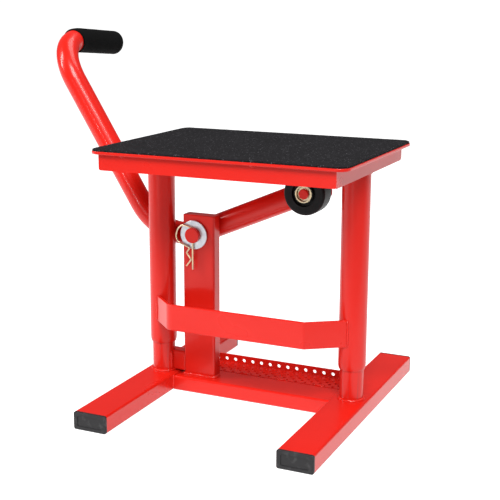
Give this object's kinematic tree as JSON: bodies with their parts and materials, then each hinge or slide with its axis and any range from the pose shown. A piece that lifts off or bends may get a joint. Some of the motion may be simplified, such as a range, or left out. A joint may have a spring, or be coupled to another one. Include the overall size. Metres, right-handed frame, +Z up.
{
  "type": "paddock stand",
  "caption": "Lever-operated motorcycle paddock stand with a matted platform that rises on telescoping tubes over a flat tube base.",
  "frame": {"origin": "on the floor at the underside of the cross beam, midway between the two feet and under the line of the two uprights", "axes": "+X to the right along the cross beam, +Y to the rear over the step tray, +Z up; the lever's grip is at the upper left"},
  "size_m": [0.5519, 0.4204, 0.5181],
  "materials": {
    "red_coat": "gloss powder coat",
    "mat": "matt granular",
    "foam": "matt foam",
    "black_plastic": "satin moulded",
    "zinc": "bright zinc plate",
    "yellow_zinc": "yellow passivated zinc plate"
  },
  "bodies": {
    "base": {"cross_beam": "red_coat", "left_foot_tube": "red_coat", "left_front_foot_cap": "black_plastic", "left_inner_tube": "red_coat", "left_rear_foot_cap": "black_plastic", "pivot_post": "red_coat", "pivot_sleeve": "zinc", "post_brace": "red_coat", "post_cap": "red_coat", "right_foot_tube": "red_coat", "right_front_foot_cap": "black_plastic", "right_inner_tube": "red_coat", "right_rear_foot_cap": "black_plastic", "step_tray": "red_coat"},
    "platform": {"platform_plate": "red_coat", "anti_slip_mat": "mat", "front_rail": "red_coat", "rear_rail": "red_coat", "left_rail": "red_coat", "right_rail": "red_coat", "left_outer_tube": "red_coat", "right_outer_tube": "red_coat", "front_guard": "red_coat", "lift_ramp": "red_coat"},
    "lever": {"lever_tube": "red_coat", "arm_end_plug": "red_coat", "lever_grip": "foam", "pivot_pin": "red_coat", "front_washer": "zinc", "thrust_washer": "zinc", "spring_clip": "yellow_zinc", "roller_axle": "red_coat", "axle_washer": "yellow_zinc", "axle_retainer": "yellow_zinc"},
    "roller": {"roller_wheel": "black_plastic", "roller_bush": "yellow_zinc"}
  },
  "joints": [
    {"name": "lever_turn", "type": "hinge", "parent": "base", "child": "lever", "pos_m": [-0.0933, 0.0365, 0.2345], "axis": [0, -1, 0], "range_deg": [0, 65]},
    {"name": "platform_lift", "type": "slide", "parent": "base", "child": "platform", "axis": [0, 0, 1], "range_m": [0, 0.112]},
    {"name": "roller_spin", "type": "hinge", "parent": "lever", "child": "roller", "pos_m": [0.07707, 0.0029, 0.30787], "axis": [0, -1, 0], "continuous": true}
  ],
  "couplings": [
    {"joint": "platform_lift", "follows": "lever_turn", "m_per_rad": 0.098725}
  ]
}
